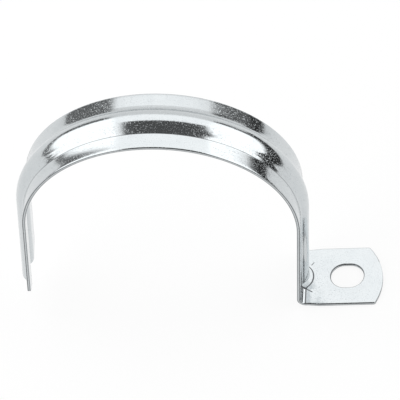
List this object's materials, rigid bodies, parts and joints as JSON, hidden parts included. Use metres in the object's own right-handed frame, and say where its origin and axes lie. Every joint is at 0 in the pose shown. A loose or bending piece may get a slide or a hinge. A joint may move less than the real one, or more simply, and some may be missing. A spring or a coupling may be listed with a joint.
{
  "type": "conduit strap",
  "caption": "Ribbed steel strip bent over a round conduit, with a free leg and a slotted foot that is bolted to a surface.",
  "frame": {"origin": "on the conduit's axis, at the middle of the strip's width", "axes": "+Y along the conduit's axis; +Z away from the surface that the foot is bolted to; +X from the conduit towards the foot"},
  "size_m": [0.1543, 0.029, 0.1204],
  "materials": {
    "plated_steel": "bright zinc plating over sheet steel"
  },
  "bodies": {
    "root": {"conduit_strap": "plated_steel"}
  },
  "joints": []
}
